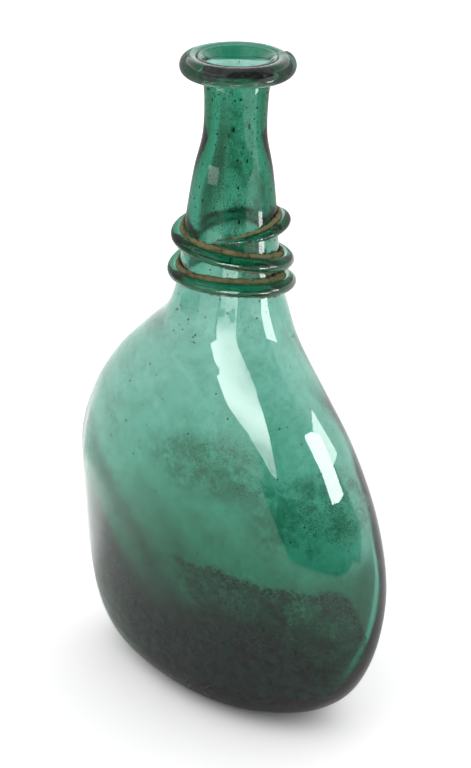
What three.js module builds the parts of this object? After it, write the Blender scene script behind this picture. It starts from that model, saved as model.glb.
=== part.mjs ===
import * as THREE from 'three';

// Saddle flask of free-blown green glass: a flattened, uneven bubble with a tall neck, a coil
// of glass round its mouth, a thread of glass wound round its neck, and the scar of the rod
// that held it under its base.
// Millimetres, +Z up. The width runs along X, the thickness along Y, and +Y is the saddle side.

// Body and neck, measured outside
const bodyHeight = 150;
const bodyWidth = 140;
const bodyThickness = 60;
const footWidth = 65.4;
const footThickness = 29.6;
const neckHeight = 89.6;
const neckRootDiameter = 36.4;
const neckThroatDiameter = 21.6;
const lipDiameter = 30;

// The neck stands a little towards the far side of the body and leans back as it rises
const neckSetBack = 0.6;
const neckLean = 2;

// The two dents that make the bubble a saddle flask, and the ridge of its far edge
const saddleBend = 3;
const saddleHollow = 6;
const edgeHollow = 2;

// Walls, and the push-up under the base
const bodyWall = 2.6;
const bottomWall = 8.6;
const neckWall = 4.6;
const throatWall = 5.4;
const lipWall = 1.8;
const kickDepth = 6;
const standingRingWidth = 6;

// Coil round the mouth
const coilDiameter = 7;
const coilReach = 38.4;
const coilDrop = 4;

// Thread round the neck
const threadDiameter = 4.4;
const threadStartHeight = 156.4;
const threadRise = 25.3;

// Scar under the base
const scarDiameter = 12.5;
const scarThickness = 1.8;

// Space kept between pieces that touch
const seatGap = 0.3;

// Outline of the body: height as a share of bodyHeight, then the half width on the near (+X)
// side, the half width on the far (-X) side and the half thickness as shares of their halves.
const bodyOutlineShares = [
  [0.02, 0.539, 0.667, 0.66],
  [0.06, 0.726, 0.797, 0.78],
  [0.133, 0.863, 0.893, 0.833],
  [0.253, 0.957, 0.962, 0.873],
  [0.4, 0.973, 1.014, 0.94],
  [0.547, 0.884, 1.026, 1.007],
  [0.693, 0.725, 0.901, 0.967],
  [0.813, 0.544, 0.724, 0.837],
  [0.92, 0.366, 0.49, 0.745],
  [1, 0.288, 0.308, 0.715],
];

// Outline of the neck: height as a share of neckHeight above the body, then how far the radius
// has gone from the root's to the throat's.
const neckOutlineShares = [
  [0.112, 0],
  [0.246, 0.19],
  [0.391, 0.365],
  [0.558, 0.635],
  [0.692, 0.965],
  [0.826, 1],
];

// Flare of the lip: height as a share of neckHeight, then how far the radius has gone from the
// throat's to the lip's.
const lipOutlineShares = [
  [0.9, 0.13],
  [0.955, 0.5],
  [0.985, 1.0],
];

// Thread: place along its path in turns, height as a share of threadRise, and thickness as a
// share of threadDiameter. It runs clockwise seen from above and ends in a drawn-out tail.
const threadShares = [
  [-0.2, 0.0, 0.55],
  [0.0, 0.12, 1.08],
  [0.25, 0.29, 1.0],
  [0.5, 0.29, 0.86],
  [0.75, 0.42, 0.95],
  [1.0, 0.44, 1.1],
  [1.25, 0.67, 1.02],
  [1.5, 0.8, 0.95],
  [1.75, 0.9, 0.92],
  [2.0, 1.0, 0.98],
  [2.15, 0.97, 0.7],
  [2.3, 0.91, 0.22],
];
const threadOriginTurn = 0.116;

// How fine the facets are
const sidesRound = 48;
const ringsPerStation = 2;
const coilSides = 12;
const threadStepsPerTurn = 24;
const threadSides = 6;
const scarSides = 8;
const scarSteps = 20;

// Where along the height each thing happens, as shares of the height it is named after
const footNearShare = 0.905;
const footFarShare = 1.095;
const setBackStartShare = 0.8;
const neckWallStartShare = 1;
const neckWallEndShare = 1.25;
const throatWallStartShare = 0.4;
const throatWallEndShare = 0.62;
const flareStartShare = 0.86;
const heelShare = 0.95;
const edgeHollowHeightShare = 0.51;
const edgeHollowSpreadShare = 0.17;
const edgeHollowTurn = 0.567;
const edgeHollowTurnSpread = 0.027;
const hollowSharpness = 6;

// The coil's overlap: where its end lies on its start, and how much it swells and thins there
const lapTurn = 0.155;
const lapSwellShare = 0.12;
const lapThinShare = 0.16;
const lapRunTurns = 0.06;

// The scar's ragged outline, and how flat it is
const scarRaggedShare = 0.25;
const scarFlatShare = 0.7;

const mouthHeight = bodyHeight + neckHeight;
const coilHeight = mouthHeight - coilDrop;
const neckRootRadius = neckRootDiameter / 2;
const throatRadius = neckThroatDiameter / 2;

function lerp(from, to, share) {
  return THREE.MathUtils.lerp(from, to, share);
}

// One station of the outside: half sizes, how far both ends are shifted, and the axis
function station(height, near, far, halfThickness) {
  const { smoothstep } = THREE.MathUtils;
  const setBack = neckSetBack * smoothstep(height, bodyHeight * setBackStartShare, bodyHeight);
  const lean = neckLean * smoothstep(height, bodyHeight, mouthHeight);
  return {
    height,
    halfWidth: (near + far) / 2,
    halfThickness,
    endShift: (near - far) / 2,
    axisShift: lean - setBack,
  };
}

function roundStation(heightShare, radius) {
  return station(bodyHeight + heightShare * neckHeight, radius, radius, radius);
}

function outsideStations() {
  const footHalf = footWidth / 2;
  const foot = station(0, footHalf * footNearShare, footHalf * footFarShare, footThickness / 2);
  const body = bodyOutlineShares.map(([heightShare, near, far, thick]) => station(
    heightShare * bodyHeight,
    near * bodyWidth / 2,
    far * bodyWidth / 2,
    thick * bodyThickness / 2,
  ));
  const neck = neckOutlineShares.map(([heightShare, share]) => (
    roundStation(heightShare, lerp(neckRootRadius, throatRadius, share))));
  const lip = lipOutlineShares.map(([heightShare, share]) => (
    roundStation(heightShare, lerp(throatRadius, lipDiameter / 2, share))));
  return [foot, ...body, ...neck, ...lip];
}

const stations = outsideStations();

function smoothCurve(first, second) {
  const points = stations.map((at) => new THREE.Vector3(at[first], at[second], at.height));
  return new THREE.CatmullRomCurve3(points, false, 'catmullrom');
}

const sizeCurve = smoothCurve('halfWidth', 'halfThickness');
const shiftCurve = smoothCurve('endShift', 'axisShift');

// How strongly the saddle shape acts at a height: nothing at the foot and the neck, all halfway
function saddleShare(height) {
  if (height >= bodyHeight) return 0;
  return Math.sin(Math.PI * height / bodyHeight) ** 2;
}

// Depth of the upright hollow beside the far edge
function edgeHollowDepth(height, turn) {
  const up = (height / bodyHeight - edgeHollowHeightShare) / edgeHollowSpreadShare;
  const round = (turn - edgeHollowTurn) / edgeHollowTurnSpread;
  return edgeHollow * Math.exp(-up * up - round * round);
}

// Point of the outside at a place along the outline (0 foot, 1 lip) and a turn round the axis
function outsidePoint(along, turn) {
  const size = sizeCurve.getPoint(along);
  const shift = shiftCurve.getPoint(along);
  const c = Math.cos(turn * 2 * Math.PI);
  const s = Math.sin(turn * 2 * Math.PI);
  const swell = saddleShare(size.z);
  const hollow = edgeHollowDepth(size.z, turn - Math.floor(turn));
  const bend = saddleBend * swell * c * c;
  const dish = saddleHollow * swell * Math.max(s, 0) ** hollowSharpness;
  return new THREE.Vector3(
    shift.y + size.x * c + shift.x * c * c - hollow * c,
    size.y * s + bend - dish - hollow * s,
    size.z,
  );
}

// Outward direction of the outside, from its slopes along and round it
function outsideNormal(along, turn) {
  const step = 1e-4;
  const low = Math.max(along - step, 0);
  const high = Math.min(along + step, 1);
  const up = outsidePoint(high, turn).sub(outsidePoint(low, turn));
  const round = outsidePoint(along, turn + step).sub(outsidePoint(along, turn - step));
  return round.cross(up).normalize();
}

function wallAt(height) {
  const { smoothstep } = THREE.MathUtils;
  const up = (height - bodyHeight) / neckHeight;
  const heel = 1 - smoothstep(height, 0, bodyHeight * heelShare);
  const neck = smoothstep(height, bodyHeight * neckWallStartShare, bodyHeight * neckWallEndShare);
  const throat = smoothstep(up, throatWallStartShare, throatWallEndShare);
  const flare = smoothstep(up, flareStartShare, 1);
  const lower = bodyWall + (bottomWall - bodyWall) * heel + (neckWall - bodyWall) * neck;
  return lower + (throatWall - neckWall) * throat + (lipWall - throatWall) * flare;
}

function insidePoint(along, turn) {
  const outside = outsidePoint(along, turn);
  return outside.sub(outsideNormal(along, turn).multiplyScalar(wallAt(outside.z)));
}

function ringOf(pointAt) {
  return Array.from({ length: sidesRound }, (_, side) => pointAt(side / sidesRound));
}

// Closed skin over a run of rings, with a point at each end
function closedSkin(firstPoint, rings, lastPoint) {
  const count = rings[0].length;
  const points = [firstPoint, ...rings.flat(), lastPoint];
  const index = [];
  const corner = (ring, side) => 1 + ring * count + (side % count);
  for (let side = 0; side < count; side += 1) {
    index.push(0, corner(0, side + 1), corner(0, side));
    index.push(points.length - 1, corner(rings.length - 1, side), corner(rings.length - 1, side + 1));
  }
  for (let ring = 0; ring + 1 < rings.length; ring += 1) {
    for (let side = 0; side < count; side += 1) {
      index.push(corner(ring, side), corner(ring, side + 1), corner(ring + 1, side + 1));
      index.push(corner(ring, side), corner(ring + 1, side + 1), corner(ring + 1, side));
    }
  }
  return geometryFrom(points, index);
}

// Closed skin over rings that follow each other round a loop
function loopedSkin(rings) {
  const count = rings[0].length;
  const index = [];
  const corner = (ring, side) => (ring % rings.length) * count + (side % count);
  rings.forEach((_, ring) => {
    for (let side = 0; side < count; side += 1) {
      index.push(corner(ring, side), corner(ring + 1, side), corner(ring + 1, side + 1));
      index.push(corner(ring, side), corner(ring + 1, side + 1), corner(ring, side + 1));
    }
  });
  return geometryFrom(rings.flat(), index);
}

function geometryFrom(points, index) {
  const geometry = new THREE.BufferGeometry().setFromPoints(points);
  geometry.setIndex(index);
  geometry.computeVertexNormals();
  return geometry;
}

function glass(colour, roughness) {
  return new THREE.MeshStandardMaterial({ color: colour, roughness, metalness: 0 });
}

// The push-up: a ring that has shrunk to a share of the ring it starts from, and risen
function risingRing(edge, share, rise) {
  const centre = ringCentre(edge);
  return edge.map((point) => {
    const moved = centre.clone().lerp(point, share);
    moved.z = centre.z + rise * (1 - share * share) ** 2;
    return moved;
  });
}

function ringCentre(ring) {
  const sum = ring.reduce((total, point) => total.add(point), new THREE.Vector3());
  return sum.divideScalar(ring.length);
}

function raised(point, rise) {
  return point.clone().add(new THREE.Vector3(0, 0, rise));
}

const kickRingShares = [0.2, 0.4, 0.6, 0.8];
const floorRingShares = [0.8, 0.5];
const outsideRings = (stations.length - 1) * ringsPerStation;

// The flat ring that the flask stands on: outer edge, and inner edge where the push-up begins
function standingEdges() {
  const outer = ringOf((turn) => outsidePoint(0, turn));
  const share = 1 - standingRingWidth / (footWidth / 2);
  return { outer, inner: risingRing(outer, share, 0) };
}

const standing = standingEdges();

function kickRing(share) {
  return risingRing(standing.inner, share, kickDepth);
}

function flaskBody() {
  const alongs = Array.from({ length: outsideRings + 1 }, (_, ring) => ring / outsideRings);
  const outside = alongs.slice(1).map((along) => ringOf((turn) => outsidePoint(along, turn)));
  const inside = alongs.map((along) => ringOf((turn) => insidePoint(along, turn))).reverse();
  const floorEdge = inside[inside.length - 1];
  const under = kickRingShares.map(kickRing);
  const floor = floorRingShares.map((share) => risingRing(floorEdge, share, kickDepth));
  const rings = [...under, standing.inner, standing.outer, ...outside, ...inside, ...floor];
  const underTop = raised(ringCentre(standing.inner), kickDepth);
  const floorTop = raised(ringCentre(floorEdge), kickDepth);
  return closedSkin(underTop, rings, floorTop);
}

// Place along the outline where the outside reaches a height
function alongAtHeight(height) {
  let low = 0;
  let high = 1;
  for (let halving = 0; halving < 40; halving += 1) {
    const middle = (low + high) / 2;
    if (sizeCurve.getPoint(middle).z < height) low = middle;
    else high = middle;
  }
  return (low + high) / 2;
}

// Thickness of the coil round the mouth: it swells up to its lapped end and starts thin again
function coilShare(turn) {
  const past = turn - lapTurn - Math.floor(turn - lapTurn);
  const swell = lapSwellShare * Math.exp(-(((1 - past) / lapRunTurns) ** 2));
  const thin = lapThinShare * Math.exp(-((past / lapRunTurns) ** 2));
  return 1 + swell - thin;
}

function mouthRing() {
  const tube = coilDiameter / 2;
  const centreRadius = coilReach / 2 - tube;
  const rings = ringOf((turn) => turn).map((turn) => {
    const radius = tube * coilShare(turn);
    return Array.from({ length: coilSides }, (_, side) => {
      const angle = 2 * Math.PI * side / coilSides;
      const height = coilHeight + radius * Math.sin(angle);
      const reach = centreRadius + radius * Math.cos(angle);
      return coilPoint(turn, Math.min(height, mouthHeight), reach);
    });
  });
  return loopedSkin(rings);
}

// A point of the coil, kept clear of the flaring lip that it lies round
function coilPoint(turn, height, reach) {
  const along = alongAtHeight(height);
  const size = sizeCurve.getPoint(along);
  const shift = shiftCurve.getPoint(along);
  const radius = Math.max(reach, size.x + 2 * seatGap);
  const angle = turn * 2 * Math.PI;
  return new THREE.Vector3(shift.y + radius * Math.cos(angle), radius * Math.sin(angle), height);
}

// Thread path: place in turns, height and radius of the thread, smoothed through its stations
function threadCurve() {
  const points = threadShares.map(([turns, rise, thick]) => new THREE.Vector3(
    turns * threadRise,
    threadStartHeight + rise * threadRise,
    thick * threadDiameter / 2,
  ));
  return new THREE.CatmullRomCurve3(points, false, 'catmullrom');
}

function threadSteps() {
  const curve = threadCurve();
  const turnsRun = threadShares[threadShares.length - 1][0] - threadShares[0][0];
  const count = Math.round(turnsRun * threadStepsPerTurn);
  return Array.from({ length: count + 1 }, (_, step) => threadStep(curve, step / count));
}

// Centre of the thread at one step, seated on the neck with the gap between pieces and room
// for the middle of each straight step, which lies nearer the neck than its ends
function threadStep(curve, share) {
  const at = curve.getPoint(share);
  const turn = threadOriginTurn - at.x / threadRise;
  const along = alongAtHeight(at.y);
  const outward = outsideNormal(along, turn);
  const sag = neckRootRadius * (1 - Math.cos(Math.PI / threadStepsPerTurn));
  const centre = outsidePoint(along, turn).addScaledVector(outward, at.z + seatGap + sag);
  return { centre, radius: at.z, outward, turns: at.x / threadRise };
}

function neckThread() {
  const steps = threadSteps();
  printLeastGap(steps);
  const rings = steps.map((step, index) => threadRing(steps, step, index));
  return closedSkin(steps[0].centre, rings, steps[steps.length - 1].centre);
}

function threadRing(steps, step, index) {
  const before = steps[Math.max(index - 1, 0)].centre;
  const after = steps[Math.min(index + 1, steps.length - 1)].centre;
  const forward = after.clone().sub(before).normalize();
  const sideways = new THREE.Vector3().crossVectors(forward, step.outward).normalize();
  const outward = new THREE.Vector3().crossVectors(sideways, forward);
  return Array.from({ length: threadSides }, (_, side) => {
    const angle = -2 * Math.PI * side / threadSides;
    return step.centre.clone()
      .addScaledVector(outward, -step.radius * Math.cos(angle))
      .addScaledVector(sideways, step.radius * Math.sin(angle));
  });
}

// Least space between one turn of the thread and the next, over all pairs of its steps
function printLeastGap(steps) {
  const halfTurn = 0.5;
  const gaps = steps.flatMap((one) => steps
    .filter((other) => other.turns - one.turns > halfTurn)
    .map((other) => other.centre.distanceTo(one.centre) - other.radius - one.radius));
  console.log(`neck_thread: least gap to itself ${Math.min(...gaps).toFixed(2)} mm`);
}

// Height of the push-up over a point of the floor
function kickHeight(x, y) {
  const box = new THREE.Box3().setFromPoints(standing.inner);
  const half = box.getSize(new THREE.Vector3()).divideScalar(2);
  const centre = ringCentre(standing.inner);
  const share = Math.hypot((x - centre.x) / half.x, y / half.y);
  return kickDepth * (1 - share * share) ** 2;
}

// Scar of the rod: a ragged ring of glass that follows the push-up from below
function pontilScar() {
  const centre = ringCentre(standing.inner);
  const rings = Array.from({ length: scarSteps }, (_, step) => {
    const turn = 2 * Math.PI * step / scarSteps;
    const ragged = 1 + scarRaggedShare * Math.sin(3 * turn) * Math.cos(2 * turn);
    return Array.from({ length: scarSides }, (__, side) => (
      scarPoint(centre, turn, 2 * Math.PI * side / scarSides, ragged)));
  });
  return loopedSkin(rings);
}

function scarPoint(centre, turn, angle, ragged) {
  const tube = scarThickness / 2;
  const middleReach = scarDiameter / 2 - tube;
  const reach = middleReach + tube * ragged * Math.cos(angle);
  const x = centre.x + reach * Math.cos(turn);
  const y = reach * Math.sin(turn);
  const drop = 2 * seatGap + tube * scarFlatShare * (1 - Math.sin(angle) * ragged);
  return new THREE.Vector3(x, y, kickHeight(x, y) - drop);
}

function piece(name, geometry, material) {
  const mesh = new THREE.Mesh(geometry, material);
  mesh.name = name;
  return mesh;
}

const flask = new THREE.Group();
flask.add(piece('flask_body', flaskBody(), glass(0x5fae96, 0.12)));
flask.add(piece('mouth_ring', mouthRing(), glass(0x2f6e5e, 0.1)));
flask.add(piece('neck_thread', neckThread(), glass(0x4f8a6b, 0.15)));
flask.add(piece('pontil_scar', pontilScar(), glass(0x4b9c84, 0.4)));

// The origin is under the middle of the whole flask, on the floor
const middle = new THREE.Box3().setFromObject(flask).getCenter(new THREE.Vector3());
flask.position.set(-middle.x, -middle.y, 0);

export default flask;
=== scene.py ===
import bpy
import numpy as np
from mathutils import Matrix, Vector


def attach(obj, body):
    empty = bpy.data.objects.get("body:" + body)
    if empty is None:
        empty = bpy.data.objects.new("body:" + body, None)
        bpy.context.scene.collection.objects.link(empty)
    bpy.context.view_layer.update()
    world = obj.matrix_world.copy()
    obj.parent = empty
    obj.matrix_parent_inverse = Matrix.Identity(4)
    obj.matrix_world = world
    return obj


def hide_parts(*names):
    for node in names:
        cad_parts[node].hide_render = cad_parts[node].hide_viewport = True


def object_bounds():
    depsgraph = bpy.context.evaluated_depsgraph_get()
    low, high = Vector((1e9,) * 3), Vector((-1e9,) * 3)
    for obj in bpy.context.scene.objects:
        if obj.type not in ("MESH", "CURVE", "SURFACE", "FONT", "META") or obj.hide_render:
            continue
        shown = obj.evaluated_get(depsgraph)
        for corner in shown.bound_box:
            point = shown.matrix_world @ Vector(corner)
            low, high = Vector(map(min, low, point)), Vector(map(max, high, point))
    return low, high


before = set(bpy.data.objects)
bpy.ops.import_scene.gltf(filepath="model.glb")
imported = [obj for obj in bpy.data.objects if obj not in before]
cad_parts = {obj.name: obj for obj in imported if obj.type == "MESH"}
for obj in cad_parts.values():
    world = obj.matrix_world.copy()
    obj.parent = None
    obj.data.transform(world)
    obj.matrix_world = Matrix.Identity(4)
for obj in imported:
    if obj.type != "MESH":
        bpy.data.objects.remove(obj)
cad_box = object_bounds()

# The flask itself: one bubble of green glass, blown free, flattened while soft and pressed in on
# the saddle side. Thick at the base and thin at the shoulder, it is open at the flared lip.
MM = 0.001


def colour(red, green, blue):
    """An opaque colour from linear red, green and blue."""
    return (red, green, blue, 1.0)


BODY_HEIGHT = 150 * MM
BODY_WIDTH = 140 * MM
BODY_THICKNESS = 60 * MM
FOOT_WIDTH = 65.4 * MM
FOOT_THICKNESS = 29.6 * MM
FOOT_NEAR_SHARE = 0.905
FOOT_FAR_SHARE = 1.095
NECK_HEIGHT = 89.6 * MM
NECK_ROOT_RADIUS = 18.2 * MM
THROAT_RADIUS = 10.8 * MM
LIP_RADIUS = 15 * MM
NECK_SET_BACK = 0.6 * MM
NECK_LEAN = 2 * MM
MOUTH_HEIGHT = BODY_HEIGHT + NECK_HEIGHT
LIP_TOP = 237 * MM

SADDLE_BEND = 3 * MM
SADDLE_HOLLOW = 6 * MM
HOLLOW_SHARPNESS = 6
EDGE_HOLLOW = 2 * MM
EDGE_HOLLOW_HEIGHT_SHARE = 0.51
EDGE_HOLLOW_SPREAD_SHARE = 0.17
EDGE_HOLLOW_TURN = 0.567
EDGE_HOLLOW_TURN_SPREAD = 0.027

BODY_WALL = 2.6 * MM
BOTTOM_WALL = 8.6 * MM
NECK_WALL = 4.6 * MM
THROAT_WALL = 5.4 * MM
LIP_WALL = 1.8 * MM
SET_BACK_START_SHARE = 0.8
NECK_WALL_START_SHARE = 1.0
NECK_WALL_END_SHARE = 1.25
THROAT_WALL_START_SHARE = 0.4
THROAT_WALL_END_SHARE = 0.62
FLARE_START_SHARE = 0.86
HEEL_SHARE = 0.95
END_THINNING_SHARE = 0.5
END_SHARPNESS = 4
KICK_DEPTH = 6 * MM
STANDING_RING_WIDTH = 6 * MM

# Unevenness of the skin and of the wall, and the heights where it fades in and out
OUTER_WAVE = 0.12 * MM
OUTER_INSET = 0.25 * MM
WALL_WAVE = 0.4 * MM
WAVE_SIZE = 46 * MM
WAVES_FADE_IN = (0, 12 * MM)
WAVES_FADE_OUT = (218 * MM, 236 * MM)

# Height, near half width, far half width and half thickness, as shares of the body's sizes
BODY_OUTLINE_SHARES = np.array([
    [0.02, 0.539, 0.667, 0.66],
    [0.06, 0.726, 0.797, 0.78],
    [0.133, 0.863, 0.893, 0.833],
    [0.253, 0.957, 0.962, 0.873],
    [0.4, 0.973, 1.014, 0.94],
    [0.547, 0.884, 1.026, 1.007],
    [0.693, 0.725, 0.901, 0.967],
    [0.813, 0.544, 0.724, 0.837],
    [0.92, 0.366, 0.49, 0.745],
    [1.0, 0.288, 0.308, 0.715],
])

# Height above the body, and how far the radius has gone from the root's to the throat's
NECK_OUTLINE_SHARES = np.array([
    [0.112, 0.0],
    [0.246, 0.19],
    [0.391, 0.365],
    [0.558, 0.635],
    [0.692, 0.965],
    [0.826, 1.0],
])

# Height above the body, and how far the radius has gone from the throat's to the lip's
LIP_OUTLINE_SHARES = np.array([
    [0.9, 0.13],
    [0.955, 0.5],
    [0.985, 1.0],
])

SOLID_SIDES = 48
BODY_RINGS = 190
BODY_SIDES = 208
BEAD_STEPS = 7
KICK_STEPS = 14
KICK_TIP_SHARE = 0.04
FLOOR_STEPS = 22
FLOOR_TIP_SHARE = 0.03
OUTLINE_TABLE_STEPS = 4001

GLASS_PER_METRE = 270
GLASS_PASSES = colour(0.0, 0.655, 0.504)
GLASS_IOR = 1.52
CLEAR = colour(1, 1, 1)
STAIN_TINT = colour(0.5, 0.62, 0.54)
GRIME_TINTS = colour(0.8, 0.85, 0.8), colour(0.62, 0.62, 0.5)
FILM_TINT = colour(0.05, 0.22, 0.14)
DIRT_TINT = colour(0.1, 0.1, 0.04)
CRUST_AND_SHADE_COLOURS = colour(0.014, 0.022, 0.022), colour(0.055, 0.15, 0.15)

# Noise of each layer: the size of its features, its detail and its roughness
CLOUDS = (18 * MM, 5, 0.62)
VEIL = (5 * MM, 8, 0.76)
RIPPLES = (9 * MM, 2)
TIDE_WAVES = (26 * MM, 4, 0.6)
CRUST_MOTTLE = (8 * MM, 9, 0.72)
CRUST_GRIT = (1.3 * MM, 6, 0.75)
CRUST_SHADES = (5 * MM, 6, 0.7)
DIRT_BLOTCHES = (9 * MM, 6, 0.7)
DIRT_CURDS = (2.6 * MM, 6, 0.72)
DIRT_DRIFTS = (3.5 * MM, 6, 0.8)
DIRT_CRUMBS = (1.6 * MM, 5, 0.85)
DIRT_CLUMPS = (7 * MM, 5, 0.75)
DIRT_STREAKS = (5 * MM, 6, 0.72)
FILM_MOTTLE = (11 * MM, 8, 0.76)

RIPPLE_DEPTH = 0.2 * MM
DIRT_GRAIN_SIZE = 0.75 * MM
STREAK_STRETCH = (1, 1, 0.4)
GRIME_FADES_IN = (148 * MM, 172 * MM)
GRIME_FADES_OUT = (236 * MM, 224 * MM)

# Upper edge of the dried crust on the plain side: level from the middle to the near end, and climbing
# towards the far end. On the saddle side it runs lower. Under the dregs' height the glass is covered.
# The crust and its rim fade over depths below that edge, and above it where a depth is negative.
# Further below the edge the cover deepens, darker towards the bottom: this and the dregs are partly
# real deposit and partly painted shade for the shadowed floor and thick base seen through the glass.
TIDE_HEIGHT = 61 * MM
TIDE_WANDER = 10 * MM
TIDE_MOTTLE = 9 * MM
TIDE_FAR_RISE = 24 * MM
TIDE_FAR_BETWEEN = (-14 * MM, -48 * MM)
TIDE_BACK_DROP = 37 * MM
TIDE_BACK_BETWEEN = (-6 * MM, 14 * MM)
CRUST_MOTTLED_BETWEEN = (-12 * MM, 14 * MM)
CRUST_FADE_FAR = -12 * MM
CRUST_FADE_NEAR = -3 * MM
CRUST_FULL = 3 * MM
CRUST_AND_SHADE_DEEPEN_BETWEEN = (16 * MM, 36 * MM)
RIM_FADES_IN = (-1 * MM, 0.5 * MM)
RIM_FADES_OUT = (5 * MM, 1 * MM)
DREGS_AND_SHADE_HEIGHT = 14 * MM
DREGS_AND_SHADE_WANDER = 6 * MM

# Where the dirt and the film lie: middle and radii in millimetres from the foot of the neck's axis,
# and the share of the way in at which they are full
DIRT_NEAR_END = (56, -6, 94), (21, 20, 20), 0.4
DIRT_BELLY = (26, -24, 104), (44, 14, 17), 0.7
DIRT_NECK = (10, -4, 196), (15, 15, 42), 0.4
FILM_BELLY = (14, -28, 101), (42, 16, 19), 0.6
FILM_NEAR_END = (46, -16, 88), (26, 26, 24), 0.5
FILM_LOW_END = (62, 2, 46), (28, 34, 40), 0.5
FILM_NECK_SIDE = (-10, -9, 200), (19, 19, 45), 0.5


def smoothstep(value, low, high):
    """0 below low, 1 above high, and 3t^2 - 2t^3 between them."""
    share = np.clip((value - low) / (high - low), 0, 1)
    return share * share * (3 - 2 * share)


def grid(rows, columns):
    """Two arrays that pair every value of the rows with every value of the columns."""
    return np.meshgrid(rows, columns, indexing="ij")


def even_turns(count):
    """Turns at even steps round an axis, from 0 to just under 1."""
    return np.arange(count) / count


def outline_stations():
    """Rows of height, half width, half thickness, shift of both ends and shift of the axis."""
    foot_near, foot_far = FOOT_WIDTH / 2 * FOOT_NEAR_SHARE, FOOT_WIDTH / 2 * FOOT_FAR_SHARE
    foot = np.array([[0, foot_near, foot_far, FOOT_THICKNESS / 2]])
    halves = np.array([BODY_HEIGHT, BODY_WIDTH / 2, BODY_WIDTH / 2, BODY_THICKNESS / 2])
    neck = np.column_stack([
        BODY_HEIGHT + NECK_OUTLINE_SHARES[:, 0] * NECK_HEIGHT,
        NECK_ROOT_RADIUS + (THROAT_RADIUS - NECK_ROOT_RADIUS) * NECK_OUTLINE_SHARES[:, [1, 1, 1]],
    ])
    lip = np.column_stack([
        BODY_HEIGHT + LIP_OUTLINE_SHARES[:, 0] * NECK_HEIGHT,
        THROAT_RADIUS + (LIP_RADIUS - THROAT_RADIUS) * LIP_OUTLINE_SHARES[:, [1, 1, 1]],
    ])
    height, near, far, thick = np.vstack([foot, BODY_OUTLINE_SHARES * halves, neck, lip]).T
    set_back = NECK_SET_BACK * smoothstep(height, BODY_HEIGHT * SET_BACK_START_SHARE, BODY_HEIGHT)
    lean = NECK_LEAN * smoothstep(height, BODY_HEIGHT, MOUTH_HEIGHT)
    return np.column_stack([height, (near + far) / 2, thick, (near - far) / 2, lean - set_back])


def through_stations(stations, along):
    """Catmull-Rom curve through rows of numbers: a cubic between rows, whose slope at each row is half
    the step from the row before to the row after."""
    ends = np.vstack([2 * stations[0] - stations[1], stations, 2 * stations[-1] - stations[-2]])
    place = np.clip(along, 0, 1) * (len(stations) - 1)
    first = np.minimum(place.astype(int), len(stations) - 2)
    t = (place - first)[..., None]
    before, start, end, after = (ends[first + step] for step in range(4))
    slope_in, slope_out = (end - before) / 2, (after - start) / 2
    return (start + slope_in * t + (3 * (end - start) - 2 * slope_in - slope_out) * t**2
            + (2 * (start - end) + slope_in + slope_out) * t**3)


STATIONS = outline_stations()


def swell_at(height):
    """How far the belly's bends are in force: sin^2, 0 at the foot, 1 at mid height and 0 at the neck."""
    return np.where(height < BODY_HEIGHT, np.sin(np.pi * height / BODY_HEIGHT) ** 2, 0)


def outline_point(along, turn):
    """Outer surface round the neck's axis, at a place along the outline (0 foot, 1 lip) and a turn.

    Each level is an ellipse, x = a cos + shift cos^2 and y = b sin. Bent towards the saddle side
    by cos^2, dished there by sin^6, and hollowed beside the far edge by a bell of both parameters."""
    rows = through_stations(STATIONS, along)
    height, half_width, half_thickness, end_shift, axis_shift = np.moveaxis(rows, -1, 0)
    c, s = np.cos(2 * np.pi * turn), np.sin(2 * np.pi * turn)
    swell = swell_at(height)
    from_height = (height / BODY_HEIGHT - EDGE_HOLLOW_HEIGHT_SHARE) / EDGE_HOLLOW_SPREAD_SHARE
    from_turn = (turn % 1 - EDGE_HOLLOW_TURN) / EDGE_HOLLOW_TURN_SPREAD
    hollow = EDGE_HOLLOW * np.exp(-from_height**2 - from_turn**2)
    x = axis_shift + half_width * c + end_shift * c**2 - hollow * c
    y = half_thickness * s + SADDLE_BEND * swell * c**2 - hollow * s
    y = y - SADDLE_HOLLOW * swell * np.maximum(s, 0) ** HOLLOW_SHARPNESS
    return np.stack([x, y, height + 0 * c], -1)


def box_middle():
    """Middle of the box round the solid's own rings, which stand two to a station."""
    along, turn = grid(np.linspace(0, 1, 2 * len(STATIONS) - 1), even_turns(SOLID_SIDES))
    skin = outline_point(along, turn).reshape(-1, 3)
    return (skin.min(0) + skin.max(0)) / 2 * [1, 1, 0]


AXIS = -box_middle()


def outside(along, turn):
    """The outer surface, moved so that the origin lies under the middle of the flask."""
    return outline_point(along, turn) + AXIS


def outward(along, turn):
    """Unit normal of the outer surface: the cross product of its slopes round and along it."""
    step = 1e-4
    rise = outside(np.minimum(along + step, 1), turn) - outside(np.maximum(along - step, 0), turn)
    run = outside(along, turn + step) - outside(along, turn - step)
    normal = np.cross(run, rise)
    return normal / np.linalg.norm(normal, axis=-1, keepdims=True)


def along_at(height):
    """Place along the outline of each height, read back from a fine table of the outline."""
    table = np.linspace(0, 1, OUTLINE_TABLE_STEPS)
    return np.interp(height, through_stations(STATIONS, table)[:, 0], table)


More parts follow.
